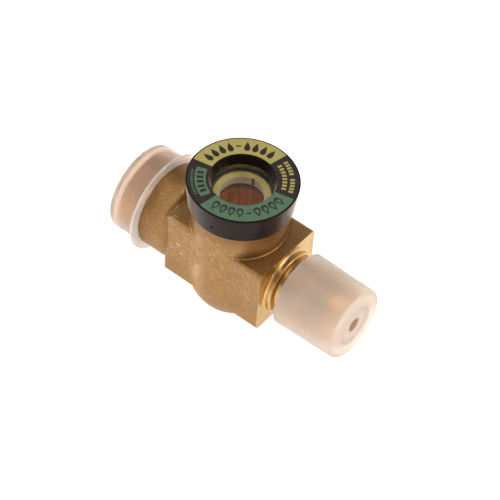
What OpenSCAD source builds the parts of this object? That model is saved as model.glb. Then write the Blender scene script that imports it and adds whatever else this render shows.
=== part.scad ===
// Moisture-indicating sight glass for a refrigerant line, with both shipping caps on.
// The origin is where the pipe axis (X) crosses the window axis (Z).
// +X points out of the male flare end, -X out of the female socket, +Z out of the window.

/* [Body block] */
// Length of the square block along the pipe axis
block_length = 36; // [32:0.5:46]
// Width of the block across its wrench flats
block_width = 25; // [23:0.5:31]
// Height of the block
block_height = 23; // [21:0.5:28]
// Rounding of the block's long edges
block_edge_r = 1.2; // [0.4:0.1:2]
// Rounding of the forged corners at the socket end of the block
forged_corner_r = 2.0; // [0.5:0.1:3]
// Distance from the pipe axis down to the flat foot
foot_depth = 15.8; // [14:0.1:20]
// Depth of the rounded stretch above the foot
foot_dome_depth = 8.1; // [4:0.1:10]
// How far the round middle stands out past the neck's turned top
bulge_step = 0.9; // [0.3:0.1:2]
// Fillet between the round middle and the wrench flats
bulge_fillet_r = 1.2; // [0.5:0.1:5]
// Length of the S-shaped run from the block's top face up onto the round boss
boss_root_length = 4; // [2.5:0.1:6]
// How far that run reaches past the end of the block
boss_root_reach = 1.6; // [0.5:0.1:3]
// Fillet where the round middle rises out of the block's top face
neck_fillet_r = 0.6; // [0.3:0.1:1.5]
// Radius of the upright chamber under the window
chamber_r = 7.6; // [6:0.1:8.4]
// Depth of the chamber floor below the pipe axis
chamber_depth = 6.5; // [6:0.1:9]

/* [Pipe thread and bore] */
// Major radius of the 3/4-16 UNF flare thread, used at both ends
thread_r = 9.525; // [9:0.005:11.5]
// Thread pitch
thread_pitch = 1.5875; // [1.2:0.0005:2]
// Depth of the thread grooves
thread_depth = 0.97; // [0.6:0.01:1.1]
// Width of each flat thread crest
crest_width = 0.24; // [0.15:0.01:0.4]
// Radius of the flow bore
flow_r = 5.3; // [4:0.1:5.8]

/* [Male flare end] */
// Number of thread grooves on the flare end
flare_turns = 9; // [6:1:11]
// Length of the plain collar next to the block
collar_length = 2.2; // [1.5:0.1:4]
// How far the collar stands out past the thread
collar_step = 0.6; // [0.2:0.1:1.2]
// Fillet at the root of the collar
collar_fillet_r = 0.8; // [0.3:0.1:1.2]
// Length of the relief groove between collar and thread
relief_length = 2.2; // [1.5:0.1:4]
// Length of the plain land between the thread and the flare cone
nose_land_length = 1.5; // [0.8:0.1:3]
// Radius of the flare cone's tip
flare_tip_r = 6.3; // [6:0.1:7.5]

/* [Female socket end] */
// Number of thread grooves in the socket
socket_turns = 8; // [5:1:9]
// How far the round boss runs past the block
boss_length = 9; // [6:0.5:14]
// How far the machined end runs past the boss
socket_end_length = 8.4; // [6:0.2:12]
// Wall between the socket thread and the machined end
socket_wall = 3.2; // [2:0.1:4]
// Height of the shoulder between the machined end and the boss
boss_step = 0.85; // [0.6:0.05:3]
// Entry chamfer of the socket
entry_chamfer = 1.0; // [0.5:0.1:1.5]
// Length of the relief behind the socket thread
socket_relief_length = 1.5; // [1:0.1:3]

/* [Window] */
// Radius of the glass
glass_r = 9.3; // [8.4:0.1:12]
// Thickness of the glass
glass_thickness = 3.8; // [3:0.1:6]
// Wall of the holder around the glass
holder_wall = 1.65; // [1.2:0.05:3]
// Wall of the neck around the holder's thread
neck_wall = 2.25; // [1.8:0.05:4]
// Height of the neck's top face above the pipe axis
neck_top = 21.6; // [20.6:0.1:28]
// Thickness of the gasket under the holder's flange
gasket_thickness = 1.0; // [0.8:0.1:2]
// Depth of the holder's threaded spigot below its flange
spigot_length = 5.4; // [5:0.1:8]
// Wall of the indicator carrier
carrier_wall = 1.8; // [1.2:0.1:2.2]
// Height of the indicator carrier
carrier_height = 2.8; // [2:0.1:3.2]
// Width of the slot in the carrier
carrier_slot = 1.2; // [0.6:0.1:3]
// Bearing of the carrier's slot, counter-clockwise from the flare end
carrier_slot_angle = 100; // [0:5:355]
// Thickness of the indicator paper
paper_thickness = 0.2; // [0.1:0.05:0.5]
// Thickness of the spring clip under the carrier
clip_thickness = 0.5; // [0.4:0.1:0.8]

/* [Bezel] */
// Height of the bezel's top face above the glass
well_depth = 3.6; // [3:0.1:6]
// Wall of the bezel's skirt at its bottom edge
skirt_wall = 1.85; // [1.2:0.05:3]
// How far the bezel spreads from its bottom edge to its top edge
bezel_flare = 1.05; // [0:0.05:2]
// How far the skirt reaches down past the neck's top face
skirt_overlap = 0.6; // [0.3:0.1:3]
// Radius of the bezel's opening at the top face
opening_r = 9.85; // [9:0.05:11.5]
// Radius of the bezel's opening at the glass
opening_floor_r = 8.95; // [8:0.05:9]
// Width of the plain rim around the label
label_rim = 0.4; // [0.2:0.1:1]
// Thickness of the label
label_thickness = 0.15; // [0.1:0.05:0.3]
// Radius of the moulding dimple in the skirt
dimple_r = 0.55; // [0.3:0.05:0.8]
// Bearing of the dimple, counter-clockwise from the flare end
dimple_angle = 276; // [0:1:359]

/* [Shipping caps] */
// Wall of the flare cap at its mouth
flare_cap_wall = 1.5; // [0.8:0.05:2]
// How far the flare cap narrows towards its closed end
flare_cap_taper = 0.35; // [0:0.05:0.6]
// Length of the flare cap
flare_cap_length = 21; // [20:0.1:28]
// Space left in the flare cap past the flare's tip
flare_cap_space = 1.5675; // [0.5:0.0005:3]
// Thickness of the flare cap's closed end
flare_cap_end = 1.5; // [1.2:0.1:2]
// Outer radius of the shallow dish in the flare cap's end
dish_r = 6.5; // [5:0.1:8]
// Depth of the dish
dish_depth = 0.5; // [0.2:0.1:0.6]
// Radius of the hole in the flare cap's end
pin_hole_r = 2.1; // [1:0.1:3]
// Thickness of the flare cap's inner stop ring
stop_ring_wall = 1.0; // [0.8:0.1:1.5]
// Rounding of both caps' closed ends
cap_end_r = 1.3; // [0.5:0.1:1.8]
// Wall of the socket cap
socket_cap_wall = 1.25; // [0.8:0.05:2]
// How far the socket cap's lip spreads past its barrel
lip_spread = 2.1; // [1:0.1:4]
// Space left in the socket cap past the end of the socket
socket_cap_space = 1.2; // [0.1:0.1:3]
// Thickness of the socket cap's lip
lip_thickness = 0.8; // [0.5:0.1:1.5]

/* [Fits] */
// Radial gap between the holder's spigot and the neck's bore
thread_gap = 0.1; // [0.05:0.05:0.2]
// Gap between the bezel and what it turns on
turn_gap = 0.3; // [0.1:0.05:0.4]
// How far the bezel's snap bead reaches under the holder's flange
snap_reach = 0.3; // [0.1:0.05:0.4]
// Radial gap between the socket cap and the machined end
socket_cap_gap = 0.1; // [0.05:0.05:0.2]
// Radial gap between the flare cap's bore and the thread crests
flare_cap_gap = 0.63; // [0.6:0.01:1]
// Gap between a cap and the face that stops it
stop_gap = 0.12; // [0.05:0.01:0.3]
// Gap around the indicator carrier and its clip
carrier_gap = 0.1; // [0.05:0.05:0.2]

/* [Hidden] */
$fn = 96;
// Overshoot of a cut past the face it opens
over = 1;
arc_steps = 8;

// Upright stack around the window axis
spigot_r = glass_r + holder_wall;
neck_bore_r = spigot_r + thread_gap;
neck_r = neck_bore_r + neck_wall;
bulge_r = neck_r + bulge_step;
block_top = block_height / 2;
glass_bottom = neck_top + gasket_thickness;
glass_top = glass_bottom + glass_thickness;
spigot_bottom = glass_bottom - spigot_length;
neck_bore_floor = spigot_bottom - turn_gap;
gasket_r = neck_r - 0.7;
paper_bottom = glass_bottom - paper_thickness;
carrier_bottom = paper_bottom - carrier_height;
carrier_r = glass_r - 0.9;
carrier_bore_r = carrier_r - carrier_wall;
carrier_seat_r = carrier_r + carrier_gap;
clip_top = carrier_bottom - carrier_gap / 2;
clip_bottom = clip_top - clip_thickness;
clip_groove_r = carrier_seat_r + 0.5;
clip_r = clip_groove_r - carrier_gap;
clip_bore_r = carrier_r - 0.6;
clip_opening = 4;

// Bezel and label
skirt_r = neck_r + turn_gap;
bezel_bottom = neck_top - skirt_overlap;
bezel_top = glass_top + well_depth;
bezel_ceiling = glass_top + turn_gap;
bezel_bottom_r = skirt_r + skirt_wall;
bezel_top_r = bezel_bottom_r + bezel_flare;
bezel_edge_r = 0.25;
bead_bottom = neck_top + turn_gap;
bead_top = glass_bottom - turn_gap;
bead_r = neck_r - snap_reach;
label_bottom = bezel_top - label_thickness;
label_r = bezel_top_r - label_rim;
dimple_z = (bezel_bottom + bezel_top) / 2 - 1.6;
dimple_skirt_r = bezel_bottom_r
    + bezel_flare * (dimple_z - bezel_bottom) / (bezel_top - bezel_bottom);

// Flare end, measured along +X
flare_face = block_length / 2;
collar_r = thread_r + collar_step;
thread_root_r = thread_r - thread_depth;
relief_start = flare_face + collar_length;
thread_start = relief_start + relief_length;
thread_end = thread_start + flare_turns * thread_pitch + crest_width;
cone_start = thread_end + nose_land_length;
nose_r = thread_root_r;
flare_tip = cone_start + nose_r - flare_tip_r;

// Socket end, measured along -X
socket_minor_r = thread_r - 0.81 * thread_depth;
socket_end_r = thread_r + socket_wall;
boss_r = socket_end_r + boss_step;
boss_end = block_length / 2 + boss_length;
socket_mouth = boss_end + socket_end_length;
socket_thread_start = socket_mouth - entry_chamfer;
socket_thread_end = socket_thread_start - socket_turns * thread_pitch - crest_width;
seat_start = socket_thread_end - socket_relief_length;
socket_relief_r = thread_r + 0.1;
seat_r = thread_r - 0.6;
seat_end = seat_start - (seat_r - flow_r);
seal_thickness = 0.7;
seal_inner_r = flow_r + 0.4;
seal_outer_r = seat_r - 0.2;

// Caps
flare_cap_bore_r = thread_r + flare_cap_gap;
flare_cap_r = flare_cap_bore_r + flare_cap_wall;
flare_cap_floor = flare_tip + flare_cap_space;
flare_cap_tip = flare_cap_floor + flare_cap_end;
flare_cap_mouth = flare_cap_tip - flare_cap_length;
flare_cap_tip_r = flare_cap_r - flare_cap_taper;
stop_ring_bore_r = flare_tip_r + 0.35;
stop_ring_r = stop_ring_bore_r + stop_ring_wall;
socket_cap_bore_r = socket_end_r + socket_cap_gap;
socket_cap_r = socket_cap_bore_r + socket_cap_wall;
socket_cap_mouth = boss_end + stop_gap;
socket_cap_floor = socket_mouth + socket_cap_space;
socket_cap_tip = socket_cap_floor + socket_cap_wall + 0.1;
lip_r = socket_cap_r + lip_spread;

brass = "#b8843c";
steel = "#8d9094";
black_plastic = "#231c20";
clear_plastic = "#e9c9b4";

// Points of an arc round a centre, from one angle to another
function arc(x, y, r, from, to) =
    [for (i = [0:arc_steps])
        let (a = from + (to - from) * i / arc_steps)
        [x + r * cos(a), y + r * sin(a)]];

// Thread teeth as profile points [radius, distance], from start outwards along the axis
function thread_profile(crest_r, root_r, start, turns) =
    [for (i = [0:turns - 1])
        let (s = start + i * thread_pitch)
        each [[crest_r, s], [crest_r, s + crest_width],
              [root_r, s + (thread_pitch + crest_width) / 2]]];

// Solid of revolution about the pipe axis; profile points are [radius, x]
module turned_x(points) {
    rotate([0, 90, 0]) rotate_extrude() polygon(points);
}

// Solid of revolution about the window axis; profile points are [radius, z]
module turned_z(points) {
    rotate_extrude() polygon(points);
}

// Rectangle centred on the origin, with rounded corners
module rounded_rectangle(w, h, r) {
    square([w - 2 * r, h], center = true);
    square([w, h - 2 * r], center = true);
    for (sx = [-1, 1], sy = [-1, 1]) {
        translate([sx * (w / 2 - r), sy * (h / 2 - r)]) circle(r);
    }
}

// Block outline seen across the pipe: forged round corners at -X, square ones at +X
module block_outline(h) {
    rounded_rectangle(block_length, h, forged_corner_r);
    translate([0, -h / 2]) square([block_length / 2, h]);
}

module block() {
    intersection() {
        rotate([90, 0, 90]) linear_extrude(block_length, center = true)
            rounded_rectangle(block_width, block_height, block_edge_r);
        linear_extrude(block_height + over, center = true)
            block_outline(block_width);
        rotate([90, 0, 0]) linear_extrude(block_width + over, center = true)
            block_outline(block_height);
    }
}

// One concave fillet between the round middle and a wrench flat
module bulge_fillet() {
    flat_y = block_width / 2;
    centre_y = flat_y + bulge_fillet_r;
    centre_x = sqrt(pow(bulge_r + bulge_fillet_r, 2) - pow(centre_y, 2));
    touch = bulge_r / (bulge_r + bulge_fillet_r);
    translate([0, 0, -block_top + block_edge_r]) linear_extrude(block_height - 2 * block_edge_r)
        difference() {
            polygon([[centre_x * touch - over, flat_y - over],
                     [centre_x, flat_y - over],
                     [centre_x, flat_y],
                     [centre_x * touch, centre_y * touch],
                     [centre_x * touch - over, centre_y * touch - over]]);
            translate([centre_x, centre_y]) circle(bulge_fillet_r);
        }
}

// Round middle of the forging, from the domed foot up to the block's top face
module bulge() {
    dome_z = -foot_depth + foot_dome_depth;
    intersection() {
        translate([0, 0, dome_z]) sphere(bulge_r);
        translate([0, 0, -foot_depth]) cylinder(h = foot_dome_depth, r = bulge_r);
    }
    translate([0, 0, dome_z]) cylinder(h = block_top - dome_z, r = bulge_r);
    for (sx = [0, 1], sy = [0, 1]) {
        mirror([sx, 0, 0]) mirror([0, sy, 0]) bulge_fillet();
    }
}

// Neck: the round middle carried up to a shoulder under the bezel, then its turned top
module neck() {
    shoulder = bezel_bottom - turn_gap;
    turned_z([[0, block_top - over], [bulge_r, block_top - over], [bulge_r, shoulder - bulge_step],
              [neck_r, shoulder], [neck_r, neck_top - 0.3], [neck_r - 0.3, neck_top], [0, neck_top]]);
}

module neck_root() {
    intersection() {
        turned_z(concat([[0, 0]],
                        [[bulge_r + neck_fillet_r, 0]],
                        arc(bulge_r + neck_fillet_r, block_top + neck_fillet_r, neck_fillet_r, -90, -180),
                        [[0, block_top + neck_fillet_r]]));
        cube([block_length, block_width - 2 * block_edge_r, 4 * block_top], center = true);
    }
}

module flare_end() {
    root = flare_face - over;
    turned_x(concat([[0, root], [collar_r + collar_fillet_r, root], [collar_r + collar_fillet_r, flare_face]],
                    arc(collar_r + collar_fillet_r, flare_face + collar_fillet_r, collar_fillet_r, -90, -180),
                    [[collar_r, relief_start - 0.4], [collar_r - 0.4, relief_start],
                     [thread_root_r, relief_start + 0.3], [thread_root_r, thread_start - thread_depth / 2]],
                    thread_profile(thread_r, thread_root_r, thread_start, flare_turns),
                    [[thread_r, thread_end - crest_width], [thread_r, thread_end],
                     [thread_root_r, thread_end + thread_depth / 2], [nose_r, cone_start],
                     [flare_tip_r, flare_tip], [0, flare_tip]]));
}

// Round boss that runs out on the block's flats in a soft S
module socket_boss() {
    foot_r = block_top - 0.2;
    rise = boss_r - foot_r;
    run_start = block_length / 2 + boss_root_reach - boss_root_length;
    run_end = run_start + boss_root_length;
    run_r = (pow(boss_root_length, 2) + pow(rise, 2)) / (4 * rise);
    turn = 2 * atan(rise / boss_root_length);
    mirror([1, 0, 0])
        turned_x(concat([[0, 0], [foot_r, 0]],
                        arc(foot_r + run_r, run_start, run_r, 180, 180 - turn),
                        arc(boss_r - run_r, run_end, run_r, -turn, 0),
                        [[boss_r, boss_end - 0.4], [boss_r - 0.4, boss_end],
                         [socket_end_r, boss_end], [socket_end_r, socket_mouth - 0.5],
                         [socket_end_r - 0.5, socket_mouth], [0, socket_mouth]]));
}

// Threaded socket, flare seat and the flow bore behind it
module socket_cavity() {
    mirror([1, 0, 0]) turned_x(concat([[0, 0], [flow_r, 0], [flow_r, seat_end], [seat_r, seat_start],
                                       [socket_relief_r, seat_start], [socket_relief_r, socket_thread_end - 0.4]],
                                      thread_profile(socket_minor_r, socket_relief_r, socket_thread_end,
                                                     socket_turns),
                                      [[socket_minor_r, socket_thread_start - crest_width],
                                       [socket_minor_r, socket_thread_start],
                                       [socket_minor_r + entry_chamfer, socket_mouth],
                                       [socket_minor_r + entry_chamfer, socket_mouth + over],
                                       [0, socket_mouth + over]]));
}

module body() {
    color(brass) difference() {
        union() {
            block();
            bulge();
            neck();
            neck_root();
            socket_boss();
            flare_end();
        }
        socket_cavity();
        rotate([0, 90, 0]) cylinder(h = flare_tip + over, r = flow_r);
        translate([0, 0, -chamber_depth]) cylinder(h = neck_top + chamber_depth, r = chamber_r);
        translate([0, 0, neck_bore_floor]) cylinder(h = neck_top - neck_bore_floor + over, r = neck_bore_r);
    }
}

// Steel ring with a flange, a threaded spigot and four spanner notches
module window_holder() {
    notch = 2.4;
    color(steel) difference() {
        union() {
            translate([0, 0, glass_bottom]) cylinder(h = glass_thickness, r = neck_r);
            translate([0, 0, spigot_bottom]) cylinder(h = spigot_length, r = spigot_r);
        }
        translate([0, 0, glass_bottom]) cylinder(h = glass_thickness + over, r = glass_r);
        translate([0, 0, spigot_bottom - over]) cylinder(h = spigot_length + 2 * over, r = carrier_seat_r);
        translate([0, 0, clip_bottom - carrier_gap / 2])
            cylinder(h = clip_thickness + carrier_gap, r = clip_groove_r);
        for (a = [0:90:270]) {
            rotate([0, 0, a]) translate([spigot_r + 1, -notch / 2, glass_top - 1.5])
                cube([neck_wall + over, notch, 1.5 + over]);
        }
    }
}

module ring(outer_r, inner_r, bottom, height) {
    difference() {
        translate([0, 0, bottom]) cylinder(h = height, r = outer_r);
        translate([0, 0, bottom - over]) cylinder(h = height + 2 * over, r = inner_r);
    }
}

module holder_gasket() {
    color("white") ring(gasket_r, neck_bore_r, neck_top, gasket_thickness);
}

module sight_window() {
    color("#9fb8ae") translate([0, 0, glass_bottom]) cylinder(h = glass_thickness, r = glass_r);
}

module indicator_ring() {
    color("#c9b44a") ring(carrier_r - 0.1, carrier_bore_r + 0.06, paper_bottom, paper_thickness);
}

module indicator_carrier() {
    color("#dcd6cc") difference() {
        ring(carrier_r, carrier_bore_r, carrier_bottom, carrier_height);
        rotate([0, 0, carrier_slot_angle])
            translate([0, -carrier_slot / 2, carrier_bottom - over])
            cube([carrier_r + over, carrier_slot, carrier_height + 2 * over]);
    }
}

// Split ring, sprung into the holder's groove
module carrier_clip() {
    color(steel) difference() {
        ring(clip_r, clip_bore_r, clip_bottom, clip_thickness);
        rotate([0, 0, carrier_slot_angle + 180])
            translate([0, -clip_opening / 2, clip_bottom - over])
            cube([clip_r + over, clip_opening, clip_thickness + 2 * over]);
    }
}

module bezel() {
    color(black_plastic) difference() {
        turned_z(concat([[opening_floor_r, bezel_ceiling], [skirt_r, bezel_ceiling],
                         [skirt_r, bead_top], [bead_r, bead_top], [bead_r, bead_bottom],
                         [skirt_r, bead_bottom], [skirt_r, bezel_bottom], [bezel_bottom_r, bezel_bottom]],
                        arc(bezel_top_r - bezel_edge_r, bezel_top - bezel_edge_r, bezel_edge_r, 0, 90),
                        [[label_r, bezel_top], [label_r, label_bottom], [opening_r, label_bottom]]));
        rotate([0, 0, dimple_angle]) translate([dimple_skirt_r + dimple_r * 0.4, 0, dimple_z])
            sphere(dimple_r);
    }
}

module bezel_label() {
    color("#7f8f6a") ring(label_r, opening_r, label_bottom, label_thickness);
}

// Coned copper gasket lying on the flare seat
module socket_gasket() {
    slant = seal_thickness * sqrt(2);
    rise = seal_outer_r - seal_inner_r;
    back = seat_end + seal_inner_r - flow_r;
    color("#b0603a") mirror([1, 0, 0])
        turned_x([[seal_inner_r, back], [seal_outer_r, back + rise],
                  [seal_outer_r, back + rise + slant], [seal_inner_r, back + slant]]);
}

module socket_cap() {
    lip_edge = lip_thickness / 2;
    color(clear_plastic) mirror([1, 0, 0])
        turned_x(concat([[socket_cap_bore_r, socket_cap_mouth]],
                        arc(lip_r - lip_edge, socket_cap_mouth + lip_edge, lip_edge, -90, 90),
                        arc(socket_cap_r + 0.6, socket_cap_mouth + lip_thickness + 0.6, 0.6, -90, -180),
                        arc(socket_cap_r - cap_end_r, socket_cap_tip - cap_end_r, cap_end_r, 0, 90),
                        [[0, socket_cap_tip], [0, socket_cap_floor], [socket_cap_bore_r, socket_cap_floor]]));
}

module flare_cap() {
    // The stop ring's end face lies parallel to the flare cone, one stop gap away
    cone_line = flare_tip + flare_tip_r + stop_gap * sqrt(2);
    color(clear_plastic)
        turned_x(concat([[flare_cap_bore_r, flare_cap_mouth], [flare_cap_r - 0.25, flare_cap_mouth],
                         [flare_cap_r, flare_cap_mouth + 0.25]],
                        arc(flare_cap_tip_r - cap_end_r, flare_cap_tip - cap_end_r, cap_end_r, 0, 90),
                        [[dish_r, flare_cap_tip], [dish_r - dish_depth, flare_cap_tip - dish_depth],
                         [pin_hole_r, flare_cap_tip - dish_depth], [pin_hole_r, flare_cap_floor],
                         [stop_ring_bore_r, flare_cap_floor], [stop_ring_bore_r, cone_line - stop_ring_bore_r],
                         [stop_ring_r, cone_line - stop_ring_r], [stop_ring_r, flare_cap_floor],
                         [flare_cap_bore_r - flare_cap_taper, flare_cap_floor],
                         [flare_cap_bore_r, cone_start]]));
}

body();
window_holder();
holder_gasket();
sight_window();
indicator_ring();
indicator_carrier();
carrier_clip();
bezel();
bezel_label();
socket_gasket();
socket_cap();
flare_cap();
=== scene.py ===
import math

import bmesh
import bpy
from mathutils import Matrix, Vector


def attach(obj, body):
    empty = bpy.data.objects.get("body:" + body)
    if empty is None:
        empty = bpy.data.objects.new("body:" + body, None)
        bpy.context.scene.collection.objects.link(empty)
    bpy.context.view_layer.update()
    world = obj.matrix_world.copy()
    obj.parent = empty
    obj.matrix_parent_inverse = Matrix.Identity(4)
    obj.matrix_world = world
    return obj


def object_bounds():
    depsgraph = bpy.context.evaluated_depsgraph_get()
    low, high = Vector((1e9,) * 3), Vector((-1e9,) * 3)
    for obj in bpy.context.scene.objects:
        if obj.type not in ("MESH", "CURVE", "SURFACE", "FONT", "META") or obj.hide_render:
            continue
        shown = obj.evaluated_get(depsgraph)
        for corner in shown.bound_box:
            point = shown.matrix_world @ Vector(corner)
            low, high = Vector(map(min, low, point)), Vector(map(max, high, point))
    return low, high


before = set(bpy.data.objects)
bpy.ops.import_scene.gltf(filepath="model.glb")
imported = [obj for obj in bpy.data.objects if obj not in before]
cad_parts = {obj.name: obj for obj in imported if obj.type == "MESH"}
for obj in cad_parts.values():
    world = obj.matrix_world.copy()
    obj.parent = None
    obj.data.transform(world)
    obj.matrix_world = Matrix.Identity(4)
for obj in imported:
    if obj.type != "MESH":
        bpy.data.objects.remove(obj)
cad_low, cad_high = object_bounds()
MM = 0.001


# ---------------------------------------------------------------- camera

CAMERA_BEARING = 35.67
CAMERA_ELEVATION = 48.98
CAMERA_ROLL = 4.81
CAMERA_DISTANCE = 736.1 * MM
CAMERA_LENS = 180.68
CAMERA_SENSOR = 36.0
AIM_RIGHT = 3.71 * MM
AIM_UP = -0.47 * MM


def make_camera():
    a, e, roll = (math.radians(v) for v in (CAMERA_BEARING, CAMERA_ELEVATION, CAMERA_ROLL))
    back = Vector((math.sin(a) * math.cos(e), -math.cos(a) * math.cos(e), math.sin(e)))
    level = Vector((math.cos(a), math.sin(a), 0.0))
    upright = back.cross(level)
    right = level * math.cos(roll) + upright * math.sin(roll)
    up = upright * math.cos(roll) - level * math.sin(roll)
    place = back * CAMERA_DISTANCE
    aim = right * AIM_RIGHT + up * AIM_UP
    back = (place - aim).normalized()
    right = (right - back * right.dot(back)).normalized()
    up = back.cross(right)
    data = bpy.data.cameras.new("camera")
    data.lens = CAMERA_LENS
    data.sensor_width = CAMERA_SENSOR
    data.clip_start = 0.01
    data.clip_end = 20.0
    camera = bpy.data.objects.new("camera", data)
    bpy.context.scene.collection.objects.link(camera)
    turn = Matrix((right, up, back)).transposed()
    camera.matrix_world = Matrix.Translation(place) @ turn.to_4x4()
    bpy.context.scene.camera = camera


# ---------------------------------------------------------------- node helpers

# The Mix node repeats its socket names for each kind of data, so A, B and the result go by number.
VECTOR_SOCKETS = (4, 5, 1)
COLOUR_SOCKETS = (6, 7, 2)


class Tree:
    """A material with one Principled shader, and short calls for the nodes that feed it."""

    def __init__(self, name, **sockets):
        self.material = bpy.data.materials.new(name)
        self.material.use_nodes = True
        self.tree = self.material.node_tree
        self.tree.nodes.clear()
        self.out = self.tree.nodes.new("ShaderNodeOutputMaterial")
        self.shader = self.tree.nodes.new("ShaderNodeBsdfPrincipled")
        self.link(self.shader.outputs[0], self.out.inputs["Surface"])
        for key, value in sockets.items():
            self.shader.inputs[key.replace("_", " ")].default_value = value

    def link(self, source, target):
        self.tree.links.new(source, target)

    def put(self, socket, value):
        if hasattr(value, "is_output"):
            self.link(value, socket)
        else:
            socket.default_value = value

    def new(self, kind, **values):
        made = self.tree.nodes.new(kind)
        for key, value in values.items():
            setattr(made, key, value)
        return made

    def feed(self, socket, value):
        self.put(self.shader.inputs[socket], value)

    def math(self, operation, a, b=0.0, clamp=False):
        made = self.new("ShaderNodeMath", operation=operation, use_clamp=clamp)
        self.put(made.inputs[0], a)
        self.put(made.inputs[1], b)
        return made.outputs[0]

    def greatest(self, *values):
        best = values[0]
        for value in values[1:]:
            best = self.math("MAXIMUM", best, value)
        return best

    def place(self):
        """Object coordinates in millimetres, whole and as x, y, z."""
        source = self.new("ShaderNodeTexCoord").outputs["Object"]
        scaled = self.new("ShaderNodeVectorMath", operation="SCALE")
        self.link(source, scaled.inputs[0])
        scaled.inputs["Scale"].default_value = 1.0 / MM
        split = self.new("ShaderNodeSeparateXYZ")
        self.link(scaled.outputs[0], split.inputs[0])
        return scaled.outputs[0], split.outputs[0], split.outputs[1], split.outputs[2]

    def length(self, a, b):
        squares = self.math("ADD", self.math("MULTIPLY", a, a), self.math("MULTIPLY", b, b))
        return self.math("SQRT", squares)

    def vector(self, x, y, z=0.0):
        made = self.new("ShaderNodeCombineXYZ")
        for socket, value in zip(made.inputs, (x, y, z)):
            self.put(socket, value)
        return made.outputs[0]

    def stretch(self, source, x, y, z):
        made = self.new("ShaderNodeVectorMath", operation="MULTIPLY")
        self.link(source, made.inputs[0])
        made.inputs[1].default_value = (x, y, z)
        return made.outputs[0]

    def noise(self, source, scale, detail=2.0, roughness=0.5, distortion=0.0):
        made = self.new("ShaderNodeTexNoise")
        self.link(source, made.inputs["Vector"])
        made.inputs["Scale"].default_value = scale
        made.inputs["Detail"].default_value = detail
        made.inputs["Roughness"].default_value = roughness
        made.inputs["Distortion"].default_value = distortion
        return made.outputs["Fac"]

    def cells(self, source, scale, feature="F1"):
        made = self.new("ShaderNodeTexVoronoi", feature=feature)
        self.link(source, made.inputs["Vector"])
        made.inputs["Scale"].default_value = scale
        return made.outputs["Distance"]

    def spread(self, value, low, high, start=0.0, end=1.0, smooth=False):
        """Maps low..high of the value to start..end, held at the ends."""
        made = self.new("ShaderNodeMapRange", clamp=True)
        made.interpolation_type = "SMOOTHSTEP" if smooth else "LINEAR"
        names = ("Value", "From Min", "From Max", "To Min", "To Max")
        for name, number in zip(names, (value, low, high, start, end)):
            self.put(made.inputs[name], number)
        return made.outputs["Result"]

    def mix(self, kind, sockets, share, a, b):
        made = self.new("ShaderNodeMix", data_type=kind, clamp_factor=True)
        at_a, at_b, result = sockets
        self.put(made.inputs["Factor"], share)
        self.put(made.inputs[at_a], a)
        self.put(made.inputs[at_b], b)
        return made.outputs[result]

    def blend(self, share, a, b):
        """Colour a where the share is 0, b where it is 1."""
        a, b = (colour if hasattr(colour, "is_output") else (*colour, 1.0) for colour in (a, b))
        return self.mix("RGBA", COLOUR_SOCKETS, share, a, b)

    def choose(self, share, a, b):
        """Vector a where the share is 0, b where it is 1."""
        return self.mix("VECTOR", VECTOR_SOCKETS, share, a, b)

    def near(self, where, centre, reach):
        """1 at a place in millimetres, falling to 0 at its reach."""
        made = self.new("ShaderNodeVectorMath", operation="DISTANCE")
        self.link(where, made.inputs[0])
        made.inputs[1].default_value = centre
        return self.spread(made.outputs["Value"], 0.0, reach, 1.0, 0.0)

    def true_normal(self):
        return self.new("ShaderNodeNewGeometry").outputs["Normal"]

    def round_normal(self, radius, samples):
        """The normal as if the edges had this radius."""
        made = self.new("ShaderNodeBevel", samples=samples)
        made.inputs["Radius"].default_value = radius
        return made.outputs[0]

    def bump(self, height, distance, strength=1.0, under=None):
        made = self.new("ShaderNodeBump")
        made.inputs["Strength"].default_value = strength
        made.inputs["Distance"].default_value = distance
        self.put(made.inputs["Height"], height)
        if under is not None:
            self.link(under, made.inputs["Normal"])
        return made.outputs["Normal"]

    def wear(self, radius, low, high):
        """1 on edges, 0 on flats: how far a rounded normal leans from the true one."""
        dot = self.new("ShaderNodeVectorMath", operation="DOT_PRODUCT")
        self.link(self.round_normal(radius, samples=4), dot.inputs[0])
        self.link(self.true_normal(), dot.inputs[1])
        return self.spread(dot.outputs["Value"], high, low)


def give(node, made):
    """Puts the material on a CAD node or a piece."""
    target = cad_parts[node] if isinstance(node, str) else node
    mesh = target.data
    if not mesh.materials:
        mesh.materials.append(made.material)
    for slot in target.material_slots:
        slot.material = made.material


# ---------------------------------------------------------------- materials

FORGED_LIGHT = (0.400, 0.235, 0.098)
FORGED_DARK = (0.275, 0.150, 0.054)
# the colour of the painted glints and of the bright wear
FORGED_GLINT_AND_WEAR = (0.95, 0.71, 0.47)
# the colour of the painted highlight on the swell
FORGED_HIGHLIGHT = (0.60, 0.37, 0.175)
# the colour of the painted shade on the forging
FORGED_PAINTED_SHADE = (0.17, 0.077, 0.023)
MACHINED = (0.63, 0.415, 0.175)
MACHINED_DEEP = (0.60, 0.36, 0.13)
# colours of the painted reflection in the depths of the well and the pipe
CHAMBER_REFLECTION_LIGHT = (0.96, 0.55, 0.20)
CHAMBER_REFLECTION_DARK = (0.76, 0.34, 0.085)

# Places on the body, in millimetres along the pipe (x), across it (y) and up (z)
FLARE_TURNED_FROM = 17.96
SOCKET_TURNED_TO = -27.05
NECK_FACED_FROM = 21.55
PIPE_BORED_WITHIN = 9.8
PIPE_DEEP_WITHIN = 7.5
WELL_FLOOR = -7.0
WELL_RADIUS = 11.2
WELL_DEEP_UNDER = 16.5
BLOCK_TOP = 11.5
BLOCK_FRONT = -12.5
NECK_ROOT_RADIUS = 14.9
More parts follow.
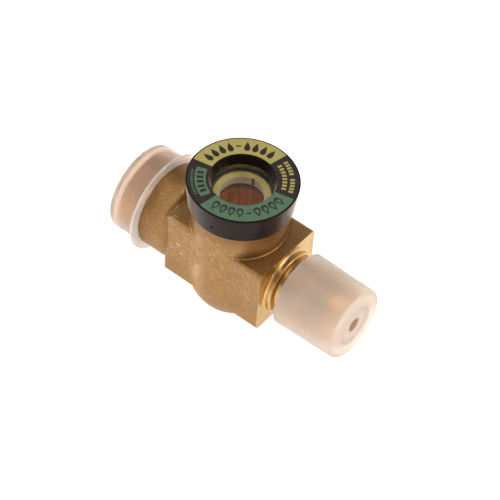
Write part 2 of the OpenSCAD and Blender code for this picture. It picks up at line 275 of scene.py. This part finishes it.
# where the painted highlight on the swell lies, its reach and its upright stretch
SWELL_HIGHLIGHT = (-4.5, -13.4, 0.0)
SWELL_HIGHLIGHT_REACH = 4.2
SWELL_HIGHLIGHT_UPRIGHT = 0.22
KNOCKED_CORNER = (-18.0, BLOCK_FRONT, BLOCK_TOP)
KNOCKED_CORNER_REACH = 5.0
KNOCKED_FACE = (-12.5, BLOCK_FRONT, 1.5)
KNOCKED_FACE_REACH = 4.0
EDGE_RADIUS = 0.5 * MM
SOFT_RADIUS = 1.1 * MM
GRIT_DEPTH = 0.12 * MM
RING_DEPTH = 0.004 * MM


def cutter_zones(m, x, z, from_pipe, from_window):
    """Where a cutter has been, then the well under the window, then the depths of the well and the pipe."""
    well = m.math(
        "MULTIPLY", m.math("GREATER_THAN", z, WELL_FLOOR), m.math("LESS_THAN", from_window, WELL_RADIUS))
    cut = m.greatest(
        m.math("GREATER_THAN", x, FLARE_TURNED_FROM), m.math("LESS_THAN", x, SOCKET_TURNED_TO),
        m.math("GREATER_THAN", z, NECK_FACED_FROM), m.math("LESS_THAN", from_pipe, PIPE_BORED_WITHIN), well)
    deep = m.greatest(
        m.math("LESS_THAN", from_pipe, PIPE_DEEP_WITHIN),
        m.math("MULTIPLY", well, m.math("LESS_THAN", z, WELL_DEEP_UNDER)))
    return cut, well, deep


def glints_and_wear(m, where):
    """Bright spots: painted glints all over, and wear where the forging was rubbed on its edges and knocked
    at two places.
    """
    patches = m.noise(where, 0.09, detail=1.0)
    knocks = m.noise(where, 1.1, detail=4.0, roughness=0.75)
    # painted glints: bright specks scattered over the shot-blasted skin
    glints = m.math("MULTIPLY", m.spread(knocks, 0.56, 0.70), m.spread(patches, 0.42, 0.60))
    rubbed = m.math("MULTIPLY", m.wear(EDGE_RADIUS, 0.80, 0.985), m.spread(knocks, 0.42, 0.60))
    nicks = m.noise(m.stretch(where, 0.45, 1.0, 1.3), 1.5, detail=3.0, roughness=0.7)
    zone = m.greatest(
        m.near(where, KNOCKED_CORNER, KNOCKED_CORNER_REACH), m.near(where, KNOCKED_FACE, KNOCKED_FACE_REACH))
    hit = m.math("MULTIPLY", m.spread(zone, 0.0, 0.7), m.spread(nicks, 0.54, 0.64, 0.0, 0.75))
    return m.greatest(m.math("MULTIPLY", glints, 0.45), m.math("MULTIPLY", rubbed, 0.45), hit)


def forged_colour(m, place, from_window, tone, mottle, bright):
    """The shot-blasted skin of the forging, with a painted highlight on its swell, painted shade, and its
    bright spots of painted glints and wear.
    """
    where, x, y, z = place
    skin = m.blend(m.spread(tone, 0.34, 0.64), FORGED_DARK, FORGED_LIGHT)

    # painted highlight: a lighter upright band where the round middle swells out of the front flat
    near_swell = m.near(m.stretch(where, 1.0, 1.0, SWELL_HIGHLIGHT_UPRIGHT), SWELL_HIGHLIGHT, SWELL_HIGHLIGHT_REACH)
    swell_highlight = m.math("MULTIPLY", m.math("MULTIPLY", near_swell, 0.85), m.spread(mottle, 0.30, 0.55))
    skin = m.blend(swell_highlight, skin, FORGED_HIGHLIGHT)

    # painted shade: darker under the bezel, where the neck meets the block's top, and on the boss towards
    # the lip
    shade_under_bezel = m.spread(z, 14.0, 20.0, 0.0, 0.62, smooth=True)
    skin = m.blend(shade_under_bezel, skin, FORGED_PAINTED_SHADE)
    # painted shade in the corner where the neck meets the block's top
    corner = m.math(
        "MULTIPLY", m.spread(z, BLOCK_TOP - 0.05, BLOCK_TOP + 0.05),
        m.spread(z, BLOCK_TOP + 0.5, BLOCK_TOP + 3.5, 0.75, 0.0))
    corner = m.math("MULTIPLY", corner, m.spread(m.math("ABSOLUTE", y), 11.0, 13.2, 1.0, 0.0))
    corner = m.math(
        "MULTIPLY", corner, m.spread(from_window, NECK_ROOT_RADIUS, NECK_ROOT_RADIUS + 0.3, 1.0, 0.0))
    skin = m.blend(corner, skin, FORGED_PAINTED_SHADE)
    # painted shade on the boss, darker towards the socket cap's lip
    shade_on_boss = m.spread(x, -25.0, -17.5, 0.36, 0.0, smooth=True)
    skin = m.blend(shade_on_boss, skin, FORGED_PAINTED_SHADE)
    # bright spots: painted glints, and wear on the edges and at two knocks
    return m.blend(bright, skin, FORGED_GLINT_AND_WEAR)


def turned_colour(m, where, rings, deep):
    """Turned brass: stained, ringed by the cutter, and warmer in the depths, where it mirrors itself, as a
    painted reflection with streaks.
    """
    stain = m.noise(where, 0.35, detail=2.0)
    skin = m.blend(m.spread(stain, 0.35, 0.70, 0.0, 0.35), MACHINED, FORGED_LIGHT)
    skin = m.blend(m.spread(rings, 0.35, 0.65, 0.0, 0.16), skin, MACHINED_DEEP)
    # painted reflection: warm tones with upright streaks in the depths, for brass mirroring brass
    reflection_streaks = m.noise(m.stretch(where, 1.0, 1.0, 0.10), 0.75, detail=1.0)
    chamber_reflection = m.blend(m.spread(reflection_streaks, 0.38, 0.62), CHAMBER_REFLECTION_DARK, CHAMBER_REFLECTION_LIGHT)
    return m.blend(deep, skin, chamber_reflection)


def brass():
    m = Tree("forged_brass", Metallic=1.0)
    place = m.place()
    where, x, y, z = place
    from_pipe = m.length(y, z)
    from_window = m.length(x, y)
    cut, well, deep = cutter_zones(m, x, z, from_pipe, from_window)
    bright = glints_and_wear(m, where)

    pits = m.noise(where, 2.6, detail=3.0, roughness=0.7)
    mottle = m.noise(where, 0.26, detail=3.0, roughness=0.6)
    tone = m.math("ADD", m.math("MULTIPLY", mottle, 0.25), m.math("MULTIPLY", pits, 0.75))

    # the cutter's rings go round the window axis in the well, and round the pipe axis elsewhere
    rings = m.noise(m.choose(well, m.vector(x, from_pipe), m.vector(z, from_window)), 5.0, roughness=0.6)

    forged = forged_colour(m, place, from_window, tone, mottle, bright)
    m.feed("Base Color", m.blend(cut, forged, turned_colour(m, where, rings, deep)))
    m.feed("Metallic", m.math("SUBTRACT", 1.0, m.math("MULTIPLY", deep, 0.55)))

    rough = m.spread(tone, 0.32, 0.68, 0.50, 0.36)
    rough = m.math("SUBTRACT", rough, m.math("MULTIPLY", bright, 0.14))
    shine = m.spread(rings, 0.30, 0.70, 0.20, 0.30)
    gap = m.math("SUBTRACT", shine, rough)
    m.feed("Roughness", m.math("ADD", rough, m.math("MULTIPLY", gap, cut)))

    # pits and soft edges on the forging, fine rings on what was turned
    off_cut = m.math("SUBTRACT", 1.0, cut)
    grit = m.math("ADD", pits, m.math("MULTIPLY", m.cells(where, 3.6), 0.3))
    grit = m.math("ADD", grit, m.math("MULTIPLY", mottle, 1.1))
    soft_share = m.math("MULTIPLY", off_cut, m.spread(x, 6.0, 12.0, 1.0, 0.0))
    shape = m.choose(soft_share, m.true_normal(), m.round_normal(SOFT_RADIUS, samples=6))
    skin = m.bump(m.math("MULTIPLY", grit, off_cut), GRIT_DEPTH, 0.75, under=shape)
    m.feed("Normal", m.bump(m.math("MULTIPLY", rings, cut), RING_DEPTH, 0.8, under=skin))
    return m


def turned_metal(name, colour, deep, roughness, ring_scale=5.0):
    m = Tree(name, Metallic=1.0)
    where, x, y, z = m.place()
    rings = m.noise(m.vector(z, m.length(x, y)), ring_scale, detail=2.0)
    smear = m.noise(where, 0.4, detail=3.0)
    m.feed("Base Color", m.blend(m.spread(smear, 0.35, 0.7, 0.0, 0.8), colour, deep))
    m.feed("Roughness", m.spread(rings, 0.3, 0.7, roughness - 0.06, roughness + 0.08))
    m.feed("Normal", m.bump(rings, 0.012 * MM, 0.8))
    return m


GASKET_SHADE = (0.80, 0.79, 0.75)
GASKET_WHITE = (0.88, 0.87, 0.84)
GLASS_CLEAR = (0.985, 0.985, 0.965)
GLASS_RIM = (0.60, 0.74, 0.62)
PAPER_SHADE = (0.66, 0.55, 0.15)
PAPER_YELLOW = (0.78, 0.66, 0.23)
PAPER_FIBRE = (0.86, 0.80, 0.48)
CARRIER_AGED = (0.72, 0.63, 0.47)
CARRIER_WHITE = (0.82, 0.74, 0.60)
BEZEL_BLACK = (0.007, 0.0035, 0.0035)
BEZEL_BLOOM = (0.012, 0.0065, 0.006)
BEZEL_GLOSS = (1.0, 0.78, 0.72, 1.0)
BEZEL_SHEEN = (1.0, 0.78, 0.68, 1.0)


def gasket_white():
    m = Tree("gasket_white", IOR=1.38)
    where, *_ = m.place()
    cloud = m.noise(where, 0.8, detail=3.0)
    m.feed("Base Color", m.blend(m.spread(cloud, 0.35, 0.7), GASKET_SHADE, GASKET_WHITE))
    m.feed("Roughness", m.spread(cloud, 0.3, 0.7, 0.42, 0.55))
    m.feed("Normal", m.bump(m.noise(where, 6.0), 0.02 * MM, 0.4))
    return m


def glass():
    """Clear glass that bends what is seen through it and lets the lamps light what is under it."""
    m = Tree("window_glass", Transmission_Weight=1.0, IOR=1.48)
    where, x, y, _ = m.place()
    rim = m.spread(m.length(x, y), 8.75, 9.25, smooth=True)
    tint = m.blend(rim, GLASS_CLEAR, GLASS_RIM)
    m.feed("Base Color", tint)
    smear = m.noise(m.stretch(where, 1.0, 0.35, 1.0), 0.5, detail=2.0)
    m.feed("Roughness", m.spread(smear, 0.4, 0.75, 0.045, 0.08))
    clear = m.new("ShaderNodeBsdfTransparent")
    m.link(tint, clear.inputs["Color"])
    mix = m.new("ShaderNodeMixShader")
    m.link(m.new("ShaderNodeLightPath").outputs["Is Shadow Ray"], mix.inputs[0])
    m.link(m.shader.outputs[0], mix.inputs[1])
    m.link(clear.outputs[0], mix.inputs[2])
    m.link(mix.outputs[0], m.out.inputs["Surface"])
    return m


def indicator_paper():
    m = Tree("indicator_paper", IOR=1.45)
    where, *_ = m.place()
    fibre = m.noise(m.stretch(where, 1.0, 2.4, 1.0), 3.0, detail=3.0, roughness=0.65, distortion=0.6)
    soak = m.noise(where, 0.3, detail=2.0)
    dry = m.blend(m.spread(soak, 0.35, 0.65), PAPER_SHADE, PAPER_YELLOW)
    m.feed("Base Color", m.blend(m.spread(fibre, 0.3, 0.7, 0.0, 0.35), dry, PAPER_FIBRE))
    m.feed("Roughness", m.spread(fibre, 0.3, 0.7, 0.72, 0.88))
    m.feed("Normal", m.bump(fibre, 0.03 * MM, 0.7))
    return m


def carrier_white():
    m = Tree("carrier_white", IOR=1.46, Subsurface_Weight=0.25, Subsurface_Scale=1.0 * MM)
    where, x, y, z = m.place()
    age = m.noise(where, 0.35, detail=3.0)
    m.feed("Base Color", m.blend(m.spread(age, 0.35, 0.7), CARRIER_AGED, CARRIER_WHITE))
    m.feed("Roughness", m.spread(age, 0.3, 0.7, 0.36, 0.50))
    m.feed("Normal", m.bump(m.noise(m.vector(z, m.length(x, y)), 4.0), 0.01 * MM, 0.6))
    return m


def bezel_black():
    m = Tree("bezel_black", IOR=1.50, Specular_IOR_Level=0.08, Specular_Tint=BEZEL_GLOSS,
             Sheen_Weight=1.0, Sheen_Roughness=0.25, Sheen_Tint=BEZEL_SHEEN)
    where, *_ = m.place()
    bloom = m.noise(where, 0.16, detail=2.0)
    m.feed("Base Color", m.blend(m.spread(bloom, 0.35, 0.7), BEZEL_BLACK, BEZEL_BLOOM))
    skin = m.noise(where, 5.0, detail=2.0, roughness=0.6)
    scuff = m.noise(m.stretch(where, 1.0, 1.0, 5.0), 0.9, detail=4.0, roughness=0.7)
    rough = m.spread(skin, 0.3, 0.7, 0.20, 0.28)
    m.feed("Roughness", m.math("ADD", rough, m.spread(scuff, 0.62, 0.74, 0.0, 0.2)))
    grain = m.math("ADD", m.math("MULTIPLY", skin, 0.35), m.math("MULTIPLY", bloom, 0.8))
    m.feed("Normal", m.bump(grain, 0.05 * MM, 0.6))
    return m


def printed(name, colour, worn):
    """Ink on a foil label: even colour with fine screen grain and faint handling marks."""
    m = Tree(name, IOR=1.5, Coat_Weight=0.15, Coat_Roughness=0.2)
    where, *_ = m.place()
    grain = m.noise(where, 7.0, detail=2.0)
    rubbed = m.noise(m.stretch(where, 1.0, 2.2, 1.0), 0.45, detail=4.0, roughness=0.65)
    m.feed("Base Color", m.blend(m.spread(rubbed, 0.42, 0.75, 0.0, 0.6), colour, worn))
    m.feed("Roughness", m.spread(grain, 0.3, 0.7, 0.37, 0.49))
    m.feed("Normal", m.bump(grain, 0.012 * MM, 0.5))
    return m


CAP_NEAR = (0.99, 0.885, 0.79)
CAP_FAR = (0.95, 0.80, 0.68)
# the colour of the brass seen through the plastic, painted on
CAP_SEEN_BRASS = (0.85, 0.70, 0.595)
# the painted lighter colour of the back-lit lip
CAP_LIP_BACKLIT = (1.0, 0.925, 0.87)
# colours of the painted shade in the flare cap's dish and pin hole
CAP_GROOVE_SHADE = (0.77, 0.645, 0.60)
CAP_HOLE_SHADE = (0.52, 0.37, 0.30)

# Places on the caps, in millimetres: the lip and the end along the pipe, the rest out from its axis
LIP_BACK = -28.6
LIP_FRONT = -28.0
FLARE_END_FROM = 42.0
GROOVE = (4.2, 5.9, 6.4, 6.9)
PIN_HOLE = (2.15, 2.7)

# How far the painted tone of the brass seen through fades in along the pipe, and the share of light the lip
# lets through
SEEN_BRASS_FADE = 1.5
LIP_CLEAR = 0.52


def cap_plastic(name, milk, clear, seen_brass_tone, seen_brass_from, seen_brass_to):
    """Milky polyethylene, finely ringed by its mould, with a painted deeper tone for the brass seen through
    it where metal lies close behind.

    It is milky and clear by the shares given, and carries the painted tone of the brass behind, of the
    strength given, between the two places given along the pipe.
    """
    m = Tree(name, IOR=1.26, Subsurface_Weight=milk)
    m.shader.inputs["Subsurface Radius"].default_value = (1.0, 0.80, 0.62)
    m.shader.inputs["Subsurface Scale"].default_value = 1.6 * MM
    where, x, y, z = m.place()
    from_pipe = m.length(y, z)
    around = m.vector(x, m.math("MULTIPLY", from_pipe, 0.8))
    rings = m.noise(around, 1.5, detail=3.0, roughness=0.7)
    cloud = m.noise(where, 0.14, detail=2.0)
    tone = m.math("ADD", m.math("MULTIPLY", rings, 0.6), m.math("MULTIPLY", cloud, 0.4))
    skin = m.blend(m.spread(tone, 0.38, 0.64), CAP_FAR, CAP_NEAR)
    # painted see-through: the brass behind the plastic painted on as a deeper tone with fine lines
    brass_behind = m.math(
        "MULTIPLY", m.spread(x, seen_brass_from, seen_brass_from + SEEN_BRASS_FADE),
        m.spread(x, seen_brass_to - SEEN_BRASS_FADE, seen_brass_to, 1.0, 0.0))
    lines = m.noise(m.vector(x, m.math("MULTIPLY", from_pipe, 0.3)), 2.2, detail=2.0, roughness=0.6)
    seen_brass = m.math("MULTIPLY", brass_behind, m.spread(lines, 0.30, 0.70, seen_brass_tone - 0.55, seen_brass_tone))
    skin = m.blend(seen_brass, skin, CAP_SEEN_BRASS)

    # the lip is on the socket cap, the dished end with its pin hole on the flare cap
    lip = m.math("MULTIPLY", m.spread(x, LIP_BACK, LIP_FRONT), m.math("LESS_THAN", x, 0.0))
    # painted light: the lip coloured lighter for the light that shines through it from behind
    skin = m.blend(lip, skin, CAP_LIP_BACKLIT)
    m.feed("Transmission Weight", m.spread(lip, 0.0, 1.0, clear, LIP_CLEAR))
    at_end = m.math("GREATER_THAN", x, FLARE_END_FROM)
    rise, full, fall, gone = GROOVE
    # painted shade: the wall of the dished end darkened as a ring
    groove_shade = m.math("MULTIPLY", m.spread(from_pipe, rise, full), m.spread(from_pipe, fall, gone, 1.0, 0.0))
    skin = m.blend(m.math("MULTIPLY", m.math("MULTIPLY", at_end, groove_shade), 0.8), skin, CAP_GROOVE_SHADE)
    # painted shade in the pin hole
    hole = m.math("MULTIPLY", at_end, m.spread(from_pipe, *PIN_HOLE, 1.0, 0.0))
    m.feed("Base Color", m.blend(hole, skin, CAP_HOLE_SHADE))

    scuff = m.noise(m.stretch(where, 0.25, 1.0, 1.0), 1.2, detail=4.0, roughness=0.7)
    rough = m.spread(tone, 0.3, 0.7, 0.30, 0.40)
    m.feed("Roughness", m.math("ADD", rough, m.spread(scuff, 0.6, 0.75, 0.0, 0.1)))
    fine = m.noise(around, 4.5, detail=2.0)
    lathe = m.math("ADD", rings, m.math("MULTIPLY", fine, 0.4))
    m.feed("Normal", m.bump(lathe, 0.05 * MM, 0.7))
    return m


# ---------------------------------------------------------------- the label's print

LABEL_TOP = 30.0
INK = 0.03
LABEL_INNER = 9.85
LABEL_OUTER = 16.1
PRINT_INNER = LABEL_INNER + 0.12
PRINT_OUTER = LABEL_OUTER - 0.15
MARK_MIDDLE = (LABEL_INNER + LABEL_OUTER) / 2
MARK_HEIGHT = 3.6
WET_CENTRE = 135.0
DRY_CENTRE = 316.5
SECTOR_SPAN = 114.0
MARKS = 9
MARK_PITCH = 11.2
DASH_WIDTH = 1.4
DASH_HEIGHT = 0.55
WET_DROP_WIDTH = 2.0
DRY_DROP_WIDTH = 2.3
DRY_DROP_HOLLOW = 0.56
PATCH_SPAN = 50.0
PATCH_INNER = 10.7
PATCH_OUTER = 13.9
PATCH_CORNER = 0.4


def on_ring(angle, radius, across=0.0, out=0.0):
    """A point given across and outward of a place on the ring, in millimetres."""
    a = math.radians(angle)
    outward = Vector((math.cos(a), math.sin(a)))
    along = Vector((math.sin(a), -math.cos(a)))
    return outward * (radius + out) + along * across


def arc_patch(centre, span, inner, outer, steps=48, corner=0.0):
    """Outline of a sector of the ring, with rounded corners if asked."""
    loop = []
    for radius, direction in ((outer, 1), (inner, -1)):
        ends = []
        for i in range(steps + 1):
            share = i / steps
            angle = centre + direction * (share - 0.5) * span
            inset = 0.0
            if corner > 0.0:
                edge = min(share, 1.0 - share) * math.radians(span) * radius
                if edge < corner:
                    inset = corner - math.sqrt(max(corner * corner - (corner - edge) ** 2, 0.0))
            ends.append(on_ring(angle, radius - direction * inset))
        loop += ends
    return loop


def droplet(angle, radius, height, width, share=1.0, steps=28):
    """A drop with its tip outward; a share below 1 gives the smaller drop inside it."""
    widest = 0.80
    sink = 0.06 * (1 - share)
    loop = []
    for i in range(steps):
        t = 2 * math.pi * i / steps
        side = math.sin(t) * abs(math.sin(t / 2)) ** 1.5 / widest
        across = side * width / 2 * share
        out = (math.cos(t) * share - sink) * height / 2
        loop.append(on_ring(angle, radius, across=across, out=out))
    return loop


def bar(angle, radius, width, height):
    corners = ((-1, -1), (-1, 1), (1, 1), (1, -1))
    return [on_ring(angle, radius, across=s * width / 2, out=o * height / 2) for s, o in corners]


def bar_row(centre, count, pitch, radius, width, height):
    """Bars side by side on the ring, the pitch in degrees and the rest in millimetres."""
    middle = (count - 1) / 2
    return [bar(centre + (step - middle) * pitch, radius, width, height) for step in range(count)]


def print_piece(name, outlines, bottom, top, material, body="bezel_ring"):
    """One flat printed piece from outlines; an outline given with a hole is an open ring."""
    bm = bmesh.new()

    def ring(points, height):
        return [bm.verts.new((p.x * MM, p.y * MM, height * MM)) for p in points]

    for outline in outlines:
        outer, hole = outline if isinstance(outline, tuple) else (outline, None)
        low, high = ring(outer, bottom), ring(outer, top)
        count = len(outer)
        for i in range(count):
            j = (i + 1) % count
            bm.faces.new((low[i], low[j], high[j], high[i]))
        if hole is None:
            bm.faces.new(high)
            bm.faces.new(low[::-1])
            continue
        low_in, high_in = ring(hole, bottom), ring(hole, top)
        for i in range(count):
            j = (i + 1) % count
            bm.faces.new((low_in[j], low_in[i], high_in[i], high_in[j]))
            bm.faces.new((high[i], high[j], high_in[j], high_in[i]))
            bm.faces.new((low[j], low[i], low_in[i], low_in[j]))
    bmesh.ops.recalc_face_normals(bm, faces=bm.faces)
    mesh = bpy.data.meshes.new(name)
    bm.to_mesh(mesh)
    bm.free()
    piece = bpy.data.objects.new(name, mesh)
    bpy.context.scene.collection.objects.link(piece)
    give(piece, material)
    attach(piece, body)


def make_label():
    yellow = printed("print_yellow", colour=(0.385, 0.318, 0.088), worn=(0.45, 0.39, 0.15))
    green = printed("print_green", colour=(0.070, 0.148, 0.085), worn=(0.105, 0.19, 0.12))
    dark = printed("print_dark", colour=(0.010, 0.008, 0.005), worn=(0.022, 0.018, 0.012))
    fine_yellow = printed("print_yellow_fine", colour=(0.40, 0.34, 0.095), worn=(0.32, 0.27, 0.08))

    low, mid, high = LABEL_TOP, LABEL_TOP + INK, LABEL_TOP + 2 * INK
    for name, centre, ink in (("wet_sector", WET_CENTRE, yellow), ("dry_sector", DRY_CENTRE, green)):
        print_piece(name, [arc_patch(centre, SECTOR_SPAN, PRINT_INNER, PRINT_OUTER)], low, mid, ink)

    # filled drops say wet, hollow drops say dry, with a dash in the middle of each row
    wet, dry = [], []
    for i in range(MARKS):
        step = i - (MARKS - 1) / 2
        for rows, centre, hollow in ((wet, WET_CENTRE, False), (dry, DRY_CENTRE, True)):
            angle = centre + step * MARK_PITCH
            if step == 0:
                rows.append(bar(angle, MARK_MIDDLE, DASH_WIDTH, DASH_HEIGHT))
            elif hollow:
                drop = droplet(angle, MARK_MIDDLE, MARK_HEIGHT, DRY_DROP_WIDTH)
                hole = droplet(angle, MARK_MIDDLE, MARK_HEIGHT, DRY_DROP_WIDTH, share=DRY_DROP_HOLLOW)
                rows.append((drop, hole))
            else:
                rows.append(droplet(angle, MARK_MIDDLE, MARK_HEIGHT, WET_DROP_WIDTH))
    print_piece("wet_marks", wet, mid, high, dark)
    print_piece("dry_marks", dry, mid, high, dark)

    # a barred patch over a row of ticks in one black sector, and two rows of ticks in the other
    left = (WET_CENTRE + DRY_CENTRE) / 2
    right = left - 180.0
    patch = arc_patch(left, PATCH_SPAN, PATCH_INNER, PATCH_OUTER, corner=PATCH_CORNER)
    print_piece("green_patch", [patch], low, mid, green)
    bars = bar_row(left, 5, pitch=8.2, radius=12.3, width=0.95, height=1.9)
    print_piece("green_patch_bars", bars, mid, high, dark)
    ticks = bar_row(left, 11, pitch=3.6, radius=14.75, width=0.45, height=0.75)
    print_piece("green_ticks", ticks, low, mid, green)
    inner_row = bar_row(right, 8, pitch=6.1, radius=11.9, width=0.75, height=1.35)
    outer_row = bar_row(right, 11, pitch=4.7, radius=14.1, width=0.75, height=1.35)
    outer_row.pop(len(outer_row) // 2)
    print_piece("yellow_ticks", inner_row + outer_row, low, mid, fine_yellow)
    black = printed("label_black", colour=(0.012, 0.006, 0.005), worn=(0.022, 0.013, 0.011))
    give("bezel_label", black)


# ---------------------------------------------------------------- stage and light

FLOOR_RADIUS = 2.2
FLOOR_CORNERS = 96
FLOOR_GLOW = (1.0, 0.985, 0.975, 1.0)
SKY_LOW = (1.0, 0.985, 0.97, 1.0)
SKY_BRIGHT = (1.0, 0.97, 0.94, 1.0)
SKY_DIM = (0.29, 0.27, 0.25, 1.0)
SKY_TOP = (0.27, 0.255, 0.235, 1.0)


def make_floor():
    bm = bmesh.new()
    turns = [2 * math.pi * i / FLOOR_CORNERS for i in range(FLOOR_CORNERS)]
    rim = [(FLOOR_RADIUS * math.cos(turn), FLOOR_RADIUS * math.sin(turn), cad_low.z) for turn in turns]
    bm.faces.new([bm.verts.new(corner) for corner in rim])
    mesh = bpy.data.meshes.new("floor")
    bm.to_mesh(mesh)
    bm.free()
    floor = bpy.data.objects.new("floor", mesh)
    bpy.context.scene.collection.objects.link(floor)
    m = Tree("floor_white", Base_Color=(0.55, 0.55, 0.55, 1.0), Roughness=0.9)
    m.shader.inputs["Emission Color"].default_value = FLOOR_GLOW
    m.shader.inputs["Emission Strength"].default_value = 0.86
    m.shader.inputs["Specular IOR Level"].default_value = 0.0
    give(floor, m)


def make_world():
    world = bpy.data.worlds.new("studio")
    bpy.context.scene.world = world
    world.use_nodes = True
    tree = world.node_tree
    tree.nodes.clear()
    out = tree.nodes.new("ShaderNodeOutputWorld")
    back = tree.nodes.new("ShaderNodeBackground")
    ramp = tree.nodes.new("ShaderNodeValToRGB")
    split = tree.nodes.new("ShaderNodeSeparateXYZ")
    coord = tree.nodes.new("ShaderNodeTexCoord")
    tree.links.new(coord.outputs["Generated"], split.inputs[0])
    tree.links.new(split.outputs[2], ramp.inputs[0])
    tree.links.new(ramp.outputs[0], back.inputs["Color"])
    tree.links.new(back.outputs[0], out.inputs[0])
    stops = ramp.color_ramp.elements
    stops[0].color = SKY_LOW
    stops[1].color = SKY_TOP
    for height, colour in ((0.30, SKY_BRIGHT), (0.56, SKY_DIM)):
        stops.new(height).color = colour


def soft_light(name, place, aim, size, power, colour):
    data = bpy.data.lights.new(name, "AREA")
    data.shape = "RECTANGLE"
    data.size, data.size_y = size
    data.energy = power
    data.color = colour
    lamp = bpy.data.objects.new(name, data)
    bpy.context.scene.collection.objects.link(lamp)
    lamp.location = place
    lamp.rotation_mode = "QUATERNION"
    lamp.rotation_quaternion = (Vector(aim) - Vector(place)).to_track_quat("-Z", "Y")


# ---------------------------------------------------------------- put together

make_camera()
give("body", brass())
give("window_holder", turned_metal(
    "holder_steel", colour=(0.60, 0.56, 0.48), deep=(0.44, 0.39, 0.31), roughness=0.28))
give("holder_gasket", gasket_white())
give("sight_window", glass())
give("indicator_ring", indicator_paper())
give("indicator_carrier", carrier_white())
give("carrier_clip", turned_metal(
    "clip_steel", colour=(0.56, 0.56, 0.57), deep=(0.40, 0.39, 0.38), roughness=0.32, ring_scale=8.0))
give("bezel", bezel_black())
give("socket_gasket", turned_metal(
    "gasket_copper", colour=(0.80, 0.42, 0.27), deep=(0.62, 0.30, 0.18), roughness=0.34))
give("socket_cap", cap_plastic(
    "cap_plastic_socket", milk=0.34, clear=0.84, seen_brass_tone=0.92, seen_brass_from=-35.2, seen_brass_to=-28.6))
give("flare_cap", cap_plastic(
    "cap_plastic_flare", milk=0.70, clear=0.68, seen_brass_tone=0.55, seen_brass_from=22.0, seen_brass_to=35.5))
make_label()
make_floor()
make_world()
soft_light("side_right", place=(0.55, 0.15, 0.22), aim=(0.02, 0.0, 0.0), size=(0.35, 0.5),
           power=2.2, colour=(1.0, 0.95, 0.90))
soft_light("overhead", place=(0.0, -0.03, 0.75), aim=(0.0, 0.0, 0.02), size=(0.5, 0.5),
           power=1.9, colour=(1.0, 0.96, 0.90))
soft_light("side_left", place=(-0.55, -0.25, 0.25), aim=(-0.02, 0.0, 0.0), size=(0.35, 0.5),
           power=2.0, colour=(1.0, 0.97, 0.94))

scene = bpy.context.scene
scene.view_settings.view_transform = "Standard"
scene.view_settings.look = "None"
